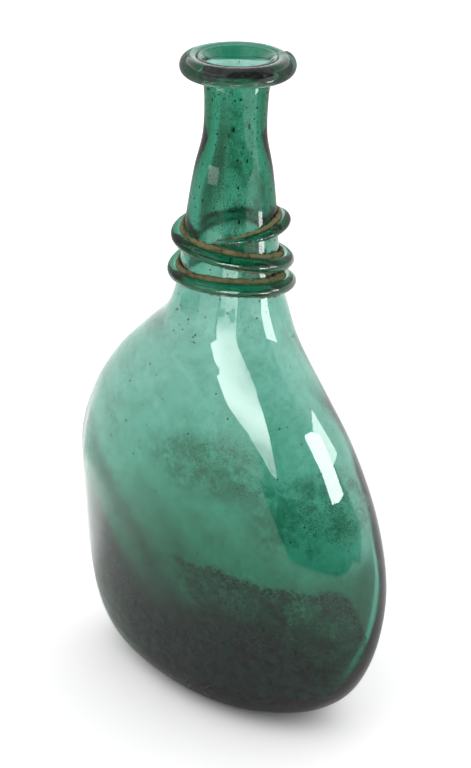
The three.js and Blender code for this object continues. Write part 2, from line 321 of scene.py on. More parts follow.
def wall_at(height, turn=0):
    """Wall thickness: thickest at the heel, thin at the shoulder, thick in the throat and thin at the lip.
    In the belly it thins by cos^4 of the turn towards the two ends, which were blown out furthest; above
    the belly the turn makes no difference."""
    up = (height - BODY_HEIGHT) / NECK_HEIGHT
    heel = 1 - smoothstep(height, 0, BODY_HEIGHT * HEEL_SHARE)
    neck = smoothstep(height, BODY_HEIGHT * NECK_WALL_START_SHARE, BODY_HEIGHT * NECK_WALL_END_SHARE)
    throat = smoothstep(up, THROAT_WALL_START_SHARE, THROAT_WALL_END_SHARE)
    flare = smoothstep(up, FLARE_START_SHARE, 1)
    wall = BODY_WALL + (BOTTOM_WALL - BODY_WALL) * heel + (NECK_WALL - BODY_WALL) * neck
    wall = wall + (THROAT_WALL - NECK_WALL) * throat + (LIP_WALL - THROAT_WALL) * flare
    return wall * (1 - END_THINNING_SHARE * swell_at(height) * np.cos(2 * np.pi * turn) ** END_SHARPNESS)


def swirl(points, size, seed):
    """Soft unevenness of blown glass between -1 and 1: a mean of five sine waves of crossing directions."""
    rng = np.random.default_rng(seed)
    directions = rng.normal(size=(5, 3))
    directions /= np.linalg.norm(directions, axis=1, keepdims=True)
    phases = rng.uniform(0, 2 * np.pi, 5)
    spread = rng.uniform(0.7, 1.5, 5)
    return np.sin(points @ (directions * spread[:, None] * 2 * np.pi / size).T + phases).mean(-1)


def ring_faces(rings, sides, looped=False, first=0):
    """Four-sided faces between rings that follow each other, and from the last to the first if looped."""
    ring, side = grid(np.arange(rings if looped else rings - 1), np.arange(sides))
    after, beside = (ring + 1) % rings, (side + 1) % sides
    corners = [ring * sides + side, ring * sides + beside, after * sides + beside, after * sides + side]
    return np.stack([corner.ravel() for corner in corners], -1) + first


def capped_faces(rings, sides, first=0):
    """Faces of a closed skin whose points are one end, its rings and the other end, in that order."""
    side = np.arange(sides)
    beside = (side + 1) % sides
    last = first + 1 + (rings - 1) * sides
    under = np.stack([0 * side + first, first + 1 + beside, first + 1 + side], -1)
    over = np.stack([0 * side + last + sides, last + side, last + beside], -1)
    return [ring_faces(rings, sides, first=first + 1), under, over]


def tube(rings, first=0):
    """Points and faces of a closed skin over rings, with the middle of its end rings at its two ends."""
    ends = rings[0].mean(0, keepdims=True), rings[-1].mean(0, keepdims=True)
    return np.vstack([ends[0], rings.reshape(-1, 3), ends[1]]), capped_faces(*rings.shape[:2], first)


def mesh_object(name, points, faces, attributes=None):
    """A smooth-shaded mesh object from points, arrays of faces, and named numbers on the points."""
    mesh = bpy.data.meshes.new(name)
    rows = sum((np.asarray(block).tolist() for block in faces), [])
    mesh.from_pydata(np.reshape(points, (-1, 3)).tolist(), [], rows)
    mesh.polygons.foreach_set("use_smooth", np.ones(len(rows), bool))
    for label, values in (attributes or {}).items():
        numbers = mesh.attributes.new(label, "FLOAT", "POINT").data
        numbers.foreach_set("value", values.astype(np.float32))
    mesh.update()
    piece = bpy.data.objects.new(name, mesh)
    bpy.context.scene.collection.objects.link(piece)
    return piece


def rising_rings(edge, shares, rise):
    """Rings that shrink from an edge to shares of it and rise by rise (1 - share^2)^2, as a push-up does."""
    centre, shares = edge.mean(0), shares[:, None]
    rings = centre + (edge - centre) * shares[..., None]
    rings[..., 2] = centre[2] + (edge[:, 2] - centre[2]) * shares + rise * (1 - shares**2) ** 2
    return rings


def blow_body():
    """The bubble's one closed skin: up the outside from the push-up, round the lip in a half circle, and
    down the inside to the floor. The attribute "inside" is 1 from the lip's middle inwards."""
    along, turn = grid(np.linspace(0, along_at(LIP_TOP), BODY_RINGS), even_turns(BODY_SIDES))
    skin, normal = outside(along, turn), outward(along, turn)
    height = skin[..., 2:]
    free = smoothstep(height, *WAVES_FADE_IN) * (1 - smoothstep(height, *WAVES_FADE_OUT))
    wave = OUTER_WAVE * swirl(skin, WAVE_SIZE, 3)[..., None] * free
    outer = skin + normal * (wave - OUTER_INSET * free)
    wall = wall_at(height, turn[..., None]) + WALL_WAVE * swirl(skin, WAVE_SIZE / 2, 8)[..., None] * free
    inner = (skin - normal * wall)[::-1]
    middle = (outer[-1] + inner[0]) / 2
    rise = (outer[-1] - outer[-2]) / np.linalg.norm(outer[-1] - outer[-2], axis=-1, keepdims=True)
    angle = np.linspace(0, np.pi, BEAD_STEPS + 2)[1:-1, None, None]
    bead = middle + (outer[-1] - middle) * np.cos(angle) + rise * LIP_WALL / 2 * np.sin(angle)
    foot = rising_rings(outer[0], np.array([1 - STANDING_RING_WIDTH / (FOOT_WIDTH / 2)]), 0)
    under = rising_rings(foot[0], np.linspace(KICK_TIP_SHARE, 1, KICK_STEPS), KICK_DEPTH)
    floor = rising_rings(inner[-1], np.linspace(1, FLOOR_TIP_SHARE, FLOOR_STEPS)[1:], KICK_DEPTH)
    rings = np.concatenate([under, outer, bead, inner, floor])
    points, faces = tube(rings)
    inside = np.zeros(len(points))
    inside[1 + (len(under) + len(outer) + BEAD_STEPS // 2) * BODY_SIDES:] = 1
    return mesh_object("flask_glass", points, faces, {"inside": inside})


class Number:
    """A number that varies over a surface: sums, differences and products of it become Math nodes."""

    def __init__(self, paint, socket):
        self.paint, self.socket = paint, socket

    def maths(self, operation, *values):
        """The result of a Math node's operation on values."""
        sockets = dict(enumerate(values))
        return Number(self.paint, self.paint.node("Math", {"operation": operation}, sockets).outputs[0])

    def __add__(self, other):
        return self.maths("ADD", self, other)

    def __sub__(self, other):
        return self.maths("SUBTRACT", self, other)

    def __rsub__(self, other):
        return self.maths("SUBTRACT", other, self)

    def __mul__(self, other):
        return self.maths("MULTIPLY", self, other)

    __radd__ = __add__
    __rmul__ = __mul__

    def least(self, other):
        """The smaller of two numbers."""
        return self.maths("MINIMUM", self, other)

    def most(self, other):
        """The larger of two numbers."""
        return self.maths("MAXIMUM", self, other)

    def step(self, low, high):
        """0 at low and 1 at high, smooth between them; low may be the larger one where both are plain."""
        flip = not isinstance(low, Number) and low > high
        sockets = {"Value": self, "From Min": high if flip else low, "From Max": low if flip else high}
        node = self.paint.node("MapRange", {"interpolation_type": "SMOOTHSTEP"}, sockets)
        found = Number(self.paint, node.outputs[0])
        return 1 - found if flip else found


class Paint:
    """A node tree that shader code writes into; places are the piece's own Object coordinates."""

    def __init__(self, name, tree=None):
        self.material = None if tree else bpy.data.materials.new(name)
        if self.material:
            self.material.use_nodes = True
        self.tree = tree or self.material.node_tree
        self.tree.nodes.clear()

    def node(self, kind, settings=None, sockets=None):
        """Adds a node of a kind, sets its settings and then its sockets' values or links."""
        made = self.tree.nodes.new("ShaderNode" + kind)
        for label, value in (settings or {}).items():
            setattr(made, label, value)
        for label, value in (sockets or {}).items():
            if isinstance(value, Number):
                value = value.socket
            if isinstance(value, bpy.types.NodeSocket):
                self.tree.links.new(value, made.inputs[label])
            else:
                made.inputs[label].default_value = value
        return made

    def place(self):
        """The place on the piece, in metres."""
        return self.node("TexCoord").outputs["Object"]

    def axes(self, vector):
        """The three numbers of a vector."""
        return [Number(self, out) for out in self.node("SeparateXYZ", sockets={0: vector}).outputs]

    def length(self, vector):
        """The length of a vector."""
        return Number(self, self.node("VectorMath", {"operation": "LENGTH"}, {0: vector}).outputs["Value"])

    def stretched(self, scale, shift=(0, 0, 0)):
        """The place with each axis scaled by its own factor, and then shifted."""
        sockets = {"Vector": self.place(), "Scale": scale, "Location": shift}
        return self.node("Mapping", sockets=sockets).outputs[0]

    def noise(self, size, detail=3.0, rough=0.5, vector=None):
        """Soft noise between 0 and 1 with features of a size in metres."""
        sockets = {"Vector": vector or self.place(), "Scale": 1 / size, "Detail": detail, "Roughness": rough}
        return Number(self, self.node("TexNoise", {"noise_dimensions": "3D"}, sockets).outputs[0])

    def cells(self, size):
        """Distance to the nearest of points scattered a size apart, in shares of that size."""
        sockets = {"Vector": self.place(), "Scale": 1 / size}
        return Number(self, self.node("TexVoronoi", {"feature": "F1"}, sockets).outputs["Distance"])

    def attribute(self, label):
        """The mesh's named number."""
        return Number(self, self.node("Attribute", {"attribute_name": label}).outputs["Fac"])

    def mix(self, share, first, second):
        """Colour that goes from the first to the second as the share goes from 0 to 1."""
        return self.node("Mix", {"data_type": "RGBA"}, {0: share, 6: first, 7: second}).outputs[2]

    def grey(self, level):
        """A grey of a varying level, which may be brighter than white."""
        return self.node("CombineXYZ", sockets={0: level, 1: level, 2: level}).outputs[0]

    def near(self, centre, radii):
        """1 at a point, falling to 0 on an ellipsoid of three radii round it."""
        centre, radii = np.array(centre), np.array(radii)
        return self.length(self.stretched(1 / radii, -centre / radii)).step(1, 0)

    def patch(self, middle, radii, full):
        """1 in the middle part of an ellipsoid set out from the neck's axis, falling to 0 at its edge."""
        return self.near(AXIS + np.array(middle) * MM, np.array(radii) * MM).step(0, full)

    def bump(self, height, distance, strength=1.0):
        """A surface roughened by a varying height, in shares of a distance."""
        sockets = {"Height": height, "Distance": distance, "Strength": strength}
        return self.node("Bump", sockets=sockets).outputs[0]

    def glass(self, tint, rough, bump):
        """Clear glass with a tint, a roughness and a bump on its surface."""
        return self.node("BsdfPrincipled", sockets={
            "Base Color": tint, "Roughness": rough, "IOR": GLASS_IOR, "Transmission Weight": 1.0,
            "Normal": bump})

    def over(self, share, under, cover):
        """A shader covered by another as far as a share from 0 to 1 says."""
        return self.node("MixShader", sockets={0: share, 1: under.outputs[0], 2: cover.outputs[0]})

    def surface(self, shader, volume=None):
        """The finished material, from its surface and the inside of its solid."""
        out = self.node("OutputMaterial", sockets={"Surface": shader.outputs[0]})
        if volume:
            self.tree.links.new(volume.outputs[0], out.inputs["Volume"])
        return self.material


def glass_volume(paint, depth=1.0):
    """The green that the iron in the glass gives it, deeper with every millimetre of way through it."""
    sockets = {"Color": GLASS_PASSES, "Density": GLASS_PER_METRE * depth}
    return paint.node("VolumeAbsorption", sockets=sockets)


def dried_crust_and_shade(paint):
    """Cover of the crust that the last of the liquid left: a film below a ragged, level tide line with a
    dark rim, even towards the far end and mottled towards the near one, over dregs on the floor. The cover
    deepens towards the bottom, partly as painted shade of the shadowed floor seen through the thick base."""
    x, y, z = paint.axes(paint.place())
    wander = paint.noise(*TIDE_WAVES) - 0.5
    mottle = paint.noise(*CRUST_MOTTLE)
    grit = paint.noise(*CRUST_GRIT)
    near = x.step(*CRUST_MOTTLED_BETWEEN)
    rise = x.step(*TIDE_FAR_BETWEEN) * TIDE_FAR_RISE
    drop = y.step(*TIDE_BACK_BETWEEN) * TIDE_BACK_DROP
    depth = rise - drop + TIDE_HEIGHT + wander * TIDE_WANDER + (mottle - 0.5) * TIDE_MOTTLE - z
    rim = depth.step(*RIM_FADES_IN) * depth.step(*RIM_FADES_OUT) * grit.step(0.35, 0.6) * near
    film = mottle.step(0.36, 0.6) * (near * 0.42 + 0.12) + grit.step(0.42, 0.62) * (near * 0.25 + 0.08)
    fade = near * (CRUST_FADE_NEAR - CRUST_FADE_FAR) + CRUST_FADE_FAR
    film = depth.step(fade, CRUST_FULL) * (film + 0.12) + rim * 0.6
    # Darker towards the bottom and near black under the dregs' height: partly deposit, partly painted shade
    # of the shadowed floor and thick base seen through the glass
    thick = depth.step(*CRUST_AND_SHADE_DEEPEN_BETWEEN) * 0.78
    dregs_and_shade = (z - wander * DREGS_AND_SHADE_WANDER).step(DREGS_AND_SHADE_HEIGHT + DREGS_AND_SHADE_WANDER, DREGS_AND_SHADE_HEIGHT - DREGS_AND_SHADE_WANDER)
    return 1 - (1 - film.least(0.95)) * (1 - thick) * (1 - dregs_and_shade * 0.97)


def scattered_dirt(paint):
    """Cover of the olive dirt: specks crowded at the near end, clouds on the belly, streaks in the neck."""
    blotch = paint.noise(*DIRT_BLOTCHES)
    curds = paint.noise(*DIRT_CURDS).step(0.44, 0.58)
    grains = paint.cells(DIRT_GRAIN_SIZE).step(0.45, 0.2) * paint.noise(*DIRT_DRIFTS).step(0.42, 0.56)
    crumbs = paint.noise(*DIRT_CRUMBS).step(0.55, 0.62)
    clumps = paint.noise(*DIRT_CLUMPS).step(0.4, 0.6)
    streaks = paint.noise(*DIRT_STREAKS, paint.stretched(STREAK_STRETCH)).step(0.42, 0.62)
    near_end, belly, neck = paint.patch(*DIRT_NEAR_END), paint.patch(*DIRT_BELLY), paint.patch(*DIRT_NECK)
    crowd = near_end + belly * 0.7 + blotch.step(0.46, 0.62) * 0.55 + neck * 0.7
    specks = crowd * (grains * 0.6 + crumbs * clumps * 0.7 + curds * blotch.step(0.4, 0.6) * 0.25)
    clouds = near_end * (clumps * 0.45 + crumbs * 0.5) + belly * clumps * 0.35 + neck * streaks * 0.65
    return (specks + clouds).least(0.88)


def cloudy_film(paint):
    """Cover of the thin film: mottled from the belly to the near end, and smooth on one side of the neck."""
    mottle = paint.noise(*FILM_MOTTLE).step(0.42, 0.58)
    front = (paint.patch(*FILM_BELLY) + paint.patch(*FILM_NEAR_END)).least(1)
    smooth = paint.patch(*FILM_LOW_END) * 0.85 + paint.patch(*FILM_NECK_SIDE) * 0.9
    return (front * (mottle * 0.8 + 0.1) + smooth).least(1)


def body_glass():
    """Seedy green glass, glossy outside; inside it carries a dark dried crust up to a tide line that darkens
    towards the bottom, partly with painted shade, olive dirt here and there, cloudy weathering, and a
    grimy film that thickens up the neck."""
    paint = Paint("body_glass")
    inside = paint.attribute("inside")
    height = paint.axes(paint.place())[2]
    dirt = scattered_dirt(paint)
    cloud = paint.noise(*CLOUDS).step(0.45, 0.75)
    veil = paint.noise(*VEIL).step(0.45, 0.6)
    grime = height.step(*GRIME_FADES_IN) * height.step(*GRIME_FADES_OUT)
    stain = paint.mix(cloud * 0.45 + veil * 0.35, CLEAR, STAIN_TINT)
    stain = paint.mix(grime, stain, paint.mix(cloud, *GRIME_TINTS))
    stain = paint.mix(cloudy_film(paint), stain, FILM_TINT)
    stain = paint.mix(dirt, stain, DIRT_TINT)
    rough = (cloud * 0.08 + dirt * 0.3 + grime * 0.06 + 0.1) * inside + 0.01
    bump = paint.bump(paint.noise(*RIPPLES), RIPPLE_DEPTH, 0.2)
    glass = paint.glass(paint.mix(inside, CLEAR, stain), rough, bump)
    # The dark cover's shader: the crust's colour, which also carries the painted shade at the bottom
    crust_and_shade_colour = paint.mix(paint.noise(*CRUST_SHADES).step(0.42, 0.62), *CRUST_AND_SHADE_COLOURS)
    crust_and_shade = paint.node("BsdfPrincipled", sockets={"Base Color": crust_and_shade_colour, "Roughness": 0.7})
    return paint.surface(paint.over(dried_crust_and_shade(paint) * inside, glass, crust_and_shade), glass_volume(paint))


flask = blow_body()
flask.data.materials.append(body_glass())
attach(flask, "root")
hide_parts("flask_body")


# The mouth ring: a thick coil of the same glass, laid hot round the flared lip in one turn. Its
# end overlaps its start at the near end, where it swells and then starts thin again.
COIL_RADIUS = 3.5 * MM
COIL_CENTRE_RADIUS = 15.7 * MM
COIL_HEIGHT = MOUTH_HEIGHT - 4 * MM
COIL_SEAT = 0.15 * MM
COIL_RINGS = 220
COIL_SIDES = 52
SEAT_POINTS = 36
LIP_SECTION_DROP = 6 * MM
LIP_SECTION_STEPS = 160
LIP_BEAD_STEPS = 60
LAP_TURN = 0.155
LAP_SWELL_SHARE = 0.12
LAP_THIN_SHARE = 0.16
LAP_RUN_TURNS = 0.06
COIL_WAVE = 0.1 * MM
COIL_WAVE_SIZE = 17 * MM
COIL_DEPTH = 1.8
COIL_HAZE = (6 * MM, 4, 0.6)
COIL_RIPPLES = (4 * MM, 2)
COIL_RIPPLE_DEPTH = 0.12 * MM
DUST_SPECKS = (2.2 * MM, 6, 0.8)
COIL_HAZE_TINT = colour(0.5, 0.47, 0.36)
DUST_COLOUR = colour(0.3, 0.36, 0.35)


def coil_share(turn):
    """Thickness of the coil: 1, with a bell before the lap, and a dip after it."""
    past = (turn - LAP_TURN) % 1
    swell = LAP_SWELL_SHARE * np.exp(-(((1 - past) / LAP_RUN_TURNS) ** 2))
    return 1 + swell - LAP_THIN_SHARE * np.exp(-((past / LAP_RUN_TURNS) ** 2))


def lip_section():
    """Radius and height of the lip's own skin, a little inside it: up its outside, over its rim in a half
    circle and down the funnel."""
    height = np.linspace(COIL_HEIGHT - LIP_SECTION_DROP, LIP_TOP, LIP_SECTION_STEPS)
    radius = through_stations(STATIONS, along_at(height))[:, 1]
    slope = np.gradient(radius, height)
    out = np.stack([np.ones_like(slope), -slope], -1) / np.hypot(1, slope)[:, None]
    outer = np.stack([radius, height], -1)
    inner = (outer - out * wall_at(height)[:, None])[::-1]
    middle, rim = (outer[-1] + inner[0]) / 2, (outer[-1] - inner[0]) / 2
    angle = np.linspace(0, np.pi, LIP_BEAD_STEPS)[1:-1, None]
    bead = middle + rim * np.cos(angle) + np.array([-rim[1], rim[0]]) * np.sin(angle)
    section = np.concatenate([outer, bead, inner])
    along = np.gradient(section, axis=0)
    side = np.stack([along[:, 1], -along[:, 0]], -1) / np.linalg.norm(along, axis=1, keepdims=True)
    return section - side * COIL_SEAT


def coil_rings(turn):
    """Radius and height round each ring: a circle, which follows the lip's section where it covers it."""
    section = lip_section()
    centre = np.array([COIL_CENTRE_RADIUS, COIL_HEIGHT])
    radius = COIL_RADIUS * coil_share(turn)
    covered = np.linalg.norm(section - centre, axis=1) < radius[:, None]
    first, last = covered.argmax(1), len(section) - 1 - covered[:, ::-1].argmax(1)
    places = first[:, None] + (last - first)[:, None] * np.linspace(0, 1, SEAT_POINTS)
    rows = np.arange(len(section))
    seat = np.stack([np.interp(places, rows, section[:, axis]) for axis in (0, 1)], -1)
    start, end = seat[:, -1] - centre, seat[:, 0] - centre
    top, bottom = np.arctan2(start[:, 1], start[:, 0]), np.arctan2(end[:, 1], end[:, 0])
    angle = top[:, None] + (bottom - top)[:, None] * np.linspace(0, 1, COIL_SIDES)[1:-1]
    arc = centre + radius[:, None, None] * np.stack([np.cos(angle), np.sin(angle)], -1)
    return np.concatenate([arc, seat], 1)


def lay_coil():
    """The coil's rings carried once round the lip's leaning axis, with faint waves."""
    turn = even_turns(COIL_RINGS)
    ring = coil_rings(turn)
    radius, height = ring[..., 0], ring[..., 1]
    across, level = np.cos(2 * np.pi * turn)[:, None], np.sin(2 * np.pi * turn)[:, None]
    wave = swirl(np.stack([radius * across, radius * level, height], -1), COIL_WAVE_SIZE, 5) - 1
    reach = radius + COIL_WAVE * wave
    axis = np.interp(height, STATIONS[:, 0], STATIONS[:, 4])
    top = np.minimum(height, cad_box[1][2])
    points = np.stack([axis + reach * across, reach * level, top], -1) + AXIS
    return mesh_object("mouth_coil_glass", points, [ring_faces(*ring.shape[:2], looped=True)])


def coil_glass():
    """Thick clear green glass with a trace of weathering in its surface and a little dust on it."""
    paint = Paint("coil_glass")
    haze = paint.noise(*COIL_HAZE)
    tint = paint.mix(haze.step(0.45, 0.8) * 0.3, CLEAR, COIL_HAZE_TINT)
    bump = paint.bump(paint.noise(*COIL_RIPPLES), COIL_RIPPLE_DEPTH, 0.3)
    glass = paint.glass(tint, haze * 0.06, bump)
    dust = paint.node("BsdfDiffuse", sockets={"Color": DUST_COLOUR})
    share = paint.noise(*DUST_SPECKS).step(0.42, 0.7) * 0.14 + 0.03
    return paint.surface(paint.over(share, glass, dust), glass_volume(paint, COIL_DEPTH))


coil = lay_coil()
coil.data.materials.append(coil_glass())
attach(coil, "root")
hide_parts("mouth_ring")


# The neck thread: a softened thread of glass wound clockwise round the neck about two and a half
# times while both were hot. It is thicker where it pooled and ends in a drawn-out tail.
THREAD_RADIUS = 2.2 * MM
THREAD_START_HEIGHT = 156.4 * MM
THREAD_RISE = 25.3 * MM
THREAD_SEAT = 0.12 * MM
THREAD_ORIGIN_TURN = 0.116
THREAD_WAVE_SHARE = 0.05
THREAD_WAVE_SIZE = 21 * MM
THREAD_STEPS = 560
THREAD_SIDES = 28
THREAD_DEPTH = 2.3
THREAD_HAZE = (7 * MM, 4, 0.6)
THREAD_RIPPLES = (3 * MM, 2)
THREAD_RIPPLE_DEPTH = 0.1 * MM
THREAD_HAZE_TINT = colour(0.55, 0.6, 0.4)

# Place along the path in turns, height as a share of the rise, thickness as a share of the radius
THREAD_SHARES = np.array([
    [-0.2, 0.0, 0.55],
    [0.0, 0.12, 1.08],
    [0.25, 0.29, 1.0],
    [0.5, 0.29, 0.86],
    [0.75, 0.42, 0.95],
    [1.0, 0.44, 1.1],
    [1.25, 0.67, 1.02],
    [1.5, 0.8, 0.95],
    [1.75, 0.9, 0.92],
    [2.0, 1.0, 0.98],
    [2.15, 0.97, 0.7],
    [2.3, 0.91, 0.22],
])


def thread_path(steps):
    """Turn and height of the thread's foot, and its radius, at even steps of its path."""
    turns, rise, thick = through_stations(THREAD_SHARES, np.linspace(0, 1, steps)).T
    return THREAD_ORIGIN_TURN - turns, THREAD_START_HEIGHT + rise * THREAD_RISE, thick * THREAD_RADIUS


def path_frame(turn, height):
    """Foot point on the neck, outward direction and the direction across the path, at each step."""
    foot, out = outside(along_at(height), turn), outward(along_at(height), turn)
    across = np.cross(np.gradient(foot, axis=0), out)
    return foot, out, across / np.linalg.norm(across, axis=-1, keepdims=True)


def wind_thread():
    """A tube carried along its path, its foot pressed flat a little way into the neck."""
    turn, height, radius = thread_path(THREAD_STEPS)
    foot, out, across = path_frame(turn, height)
    radius = (radius * (1 + THREAD_WAVE_SHARE * swirl(foot, THREAD_WAVE_SIZE, 4)))[:, None]
    angle = -2 * np.pi * even_turns(THREAD_SIDES)
    rise = np.maximum(radius * (1 - np.cos(angle)) - THREAD_SEAT, -THREAD_SEAT)
    side = radius * np.sin(angle)
    rings = foot[:, None] + out[:, None] * rise[..., None] + across[:, None] * side[..., None]
    return mesh_object("neck_thread_glass", *tube(rings))


def thread_glass():
    """Green glass, greyed here and there by the weathered skin that old threads have."""
    paint = Paint("thread_glass")
    haze = paint.noise(*THREAD_HAZE)
    tint = paint.mix(haze.step(0.4, 0.75) * 0.5, CLEAR, THREAD_HAZE_TINT)
    bump = paint.bump(paint.noise(*THREAD_RIPPLES), THREAD_RIPPLE_DEPTH, 0.3)
    glass = paint.glass(tint, haze * 0.08, bump)
    return paint.surface(glass, glass_volume(paint, THREAD_DEPTH))


thread = wind_thread()
thread.data.materials.append(thread_glass())
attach(thread, "root")
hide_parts("neck_thread")


# Earth in the crevices: dried brown soil packed between the neck and both sides of the thread,
# uneven where it has crumbled away.
EARTH_STEPS = 700
EARTH_SIDES = 12
EARTH_LIFT_SHARE = 0.12
# Across the path from the thread's middle, half width and half depth, as shares of the thread's radius
EARTH_BEADS_SHARES = ((1.02, 0.6, 0.42), (-0.98, 0.38, 0.3))
# How much each bead swells and shrinks, and over what length
EARTH_CRUMBS_SHARE = 0.45
EARTH_CRUMB_SIZE = 2.2 * MM
EARTH_LUMPS_SHARE = 0.5
EARTH_LUMP_SIZE = 11 * MM
SOIL_PATCHES = (4 * MM, 4, 0.6)
SOIL_GRAIN = (0.6 * MM, 3, 0.7)
SOIL_GRAIN_DEPTH = 0.3 * MM
SOIL_COLOURS = colour(0.06, 0.048, 0.018), colour(0.19, 0.15, 0.065)
SOIL_GRAIN_COLOUR = colour(0.3, 0.26, 0.14)


def pack_earth():
    """Two flattened tubes carried beside the thread's foot, their radii swollen and pinched by waves."""
    turn, height, radius = thread_path(EARTH_STEPS)
    foot, out, across = path_frame(turn, height)
    angle = -2 * np.pi * even_turns(EARTH_SIDES)
    points, faces = [], []
    for index, (aside, wide, deep) in enumerate(EARTH_BEADS_SHARES):
        crumbs = EARTH_CRUMBS_SHARE * swirl(foot, EARTH_CRUMB_SIZE, 20 + index)
        lumps = EARTH_LUMPS_SHARE * swirl(foot, EARTH_LUMP_SIZE, 30 + index)
        reach = (radius * (1 + crumbs + lumps))[:, None]
        middle = foot + across * (aside * radius)[:, None] + out * (radius * EARTH_LIFT_SHARE)[:, None]
        rise, side = -reach * deep * np.cos(angle), reach * wide * np.sin(angle)
        rings = middle[:, None] + out[:, None] * rise[..., None] + across[:, None] * side[..., None]
        bead_points, bead_faces = tube(rings, index * (EARTH_STEPS * EARTH_SIDES + 2))
        points.append(bead_points)
        faces += bead_faces
    return mesh_object("crevice_earth", np.vstack(points), faces)


def earth():
    """Matt brown soil, redder and paler in patches, with a crumbly surface."""
    paint = Paint("earth")
    patches = paint.noise(*SOIL_PATCHES)
    grain = paint.noise(*SOIL_GRAIN)
    brown = paint.mix(patches.step(0.35, 0.6), *SOIL_COLOURS)
    brown = paint.mix(grain.step(0.4, 0.7) * 0.6, brown, SOIL_GRAIN_COLOUR)
    bump = paint.bump(grain + patches, SOIL_GRAIN_DEPTH, 0.8)
    sockets = {"Base Color": brown, "Roughness": 0.95, "Normal": bump}
    return paint.surface(paint.node("BsdfPrincipled", sockets=sockets))


soil = pack_earth()
soil.data.materials.append(earth())
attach(soil, "root")


# The pontil scar: the ragged ring of glass left in the push-up where the maker's rod broke away.
SCAR_RADIUS = 6.25 * MM
SCAR_TUBE = 0.9 * MM
SCAR_LOBES_SHARE = 0.25
SCAR_CHIPS_SHARE = 0.2
SCAR_CHIP_SPREAD = 0.35
SCAR_DROP_SHARE = 0.7
SCAR_SEAT = 0.1 * MM
SCAR_STEPS = 120
SCAR_SIDES = 20
CHIP_SIZE = 1.2 * MM
CHIP_DEPTH = 0.5 * MM
SCAR_TINT = colour(0.6, 0.6, 0.5)


def break_off_scar():
    """A ragged, flattened ring hung under the push-up: its tube follows the push-up's height."""
    edge = outside(np.zeros(BODY_SIDES), even_turns(BODY_SIDES))
    centre = edge.mean(0)
    half = (edge.max(0) - edge.min(0)) / 2 * (1 - STANDING_RING_WIDTH / (FOOT_WIDTH / 2))
    turn, angle = grid(2 * np.pi * even_turns(SCAR_STEPS), -2 * np.pi * even_turns(SCAR_SIDES))
    circle = np.stack([np.cos(turn), np.sin(turn), 0 * turn], -1)
    lobes = SCAR_LOBES_SHARE * np.sin(3 * turn) * np.cos(2 * turn)
    ragged = 1 + lobes + SCAR_CHIPS_SHARE * swirl(circle, SCAR_CHIP_SPREAD, 9)
    reach = SCAR_RADIUS - SCAR_TUBE + SCAR_TUBE * ragged * np.cos(angle)
    flat = reach[..., None] * circle[..., :2]
    share = np.minimum(((flat / half[:2]) ** 2).sum(-1), 1)
    height = KICK_DEPTH * (1 - share) ** 2 - SCAR_TUBE * SCAR_DROP_SHARE * (1 - np.sin(angle) * ragged)
    points = np.concatenate([flat + centre[:2], height[..., None] + SCAR_SEAT], -1)
    return mesh_object("pontil_scar_glass", points, [ring_faces(SCAR_STEPS, SCAR_SIDES, looped=True)])


def scar_glass():
    """Broken glass, frosted by its chips."""
    paint = Paint("scar_glass")
    chips = paint.cells(CHIP_SIZE)
    tint = paint.mix(chips * 0.5, CLEAR, SCAR_TINT)
    glass = paint.glass(tint, chips * 0.4 + 0.12, paint.bump(chips, CHIP_DEPTH, 0.9))
    return paint.surface(glass, glass_volume(paint))


scar = break_off_scar()
scar.data.materials.append(scar_glass())
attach(scar, "root")
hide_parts("pontil_scar")


# The seeds: small bubbles and grains of unmelted sand caught in the wall, round in the belly and
# drawn out upright in the neck, where the glass was pulled.
SEED_COUNT = 1600
SEED_LEAST = 0.09 * MM
SEED_MOST = 0.42 * MM
SEED_RARITY = 5
SEED_STRETCH = 2.2
SEED_STRETCH_BETWEEN = (150 * MM, 200 * MM)
SEED_RINGS = 4
SEED_SIDES = 7
# Places along the outline in the belly and in the neck, and depths in the wall
SEEDS_IN_BELLY_SHARES = (0.28, 0.62)
SEEDS_IN_NECK_SHARES = (0.6, 0.93)
SEED_DEPTH_SHARES = (0.35, 0.65)
SEED_SHADE_SIZE = 2 * MM
SEED_COLOURS = colour(0.004, 0.01, 0.008), colour(0.02, 0.035, 0.02)


def seed_ball():
    """Points of a coarse ball of radius 1, from its lower pole up through its rings to its upper pole."""
    slopes = np.linspace(-np.pi / 2, np.pi / 2, SEED_RINGS + 2)[1:-1]
    slope, turn = grid(slopes, 2 * np.pi * even_turns(SEED_SIDES))
    rings = np.stack([np.cos(slope) * np.cos(turn), np.cos(slope) * np.sin(turn), np.sin(slope)], -1)
    return np.vstack([[[0, 0, -1]], rings.reshape(-1, 3), [[0, 0, 1]]])


def scatter_seeds():
    """Small ellipsoids in the middle of the wall: a coarse ball, scaled and placed for each seed."""
    rng = np.random.default_rng(12)
    half = SEED_COUNT // 2
    shares = rng.uniform(*SEEDS_IN_BELLY_SHARES, half), rng.uniform(*SEEDS_IN_NECK_SHARES, half)
    along = np.concatenate(shares)
    turn = rng.uniform(0, 1, SEED_COUNT)
    skin, normal = outside(along, turn), outward(along, turn)
    wall = wall_at(skin[:, 2:], turn[:, None])
    middle = skin - normal * wall * rng.uniform(*SEED_DEPTH_SHARES, (SEED_COUNT, 1))
    size = SEED_LEAST + (SEED_MOST - SEED_LEAST) * rng.uniform(0, 1, SEED_COUNT) ** SEED_RARITY
    pulled = smoothstep(skin[:, 2], *SEED_STRETCH_BETWEEN)
    stretch = 1 + SEED_STRETCH * pulled * rng.uniform(0, 1, SEED_COUNT) ** 2
    ball = seed_ball()
    points = middle[:, None] + ball[None] * np.stack([size, size, size * stretch], -1)[:, None]
    start = len(ball) * np.arange(SEED_COUNT)[:, None, None]
    faces = [(start + block).reshape(-1, block.shape[1]) for block in capped_faces(SEED_RINGS, SEED_SIDES)]
    return mesh_object("seeds", points, faces)


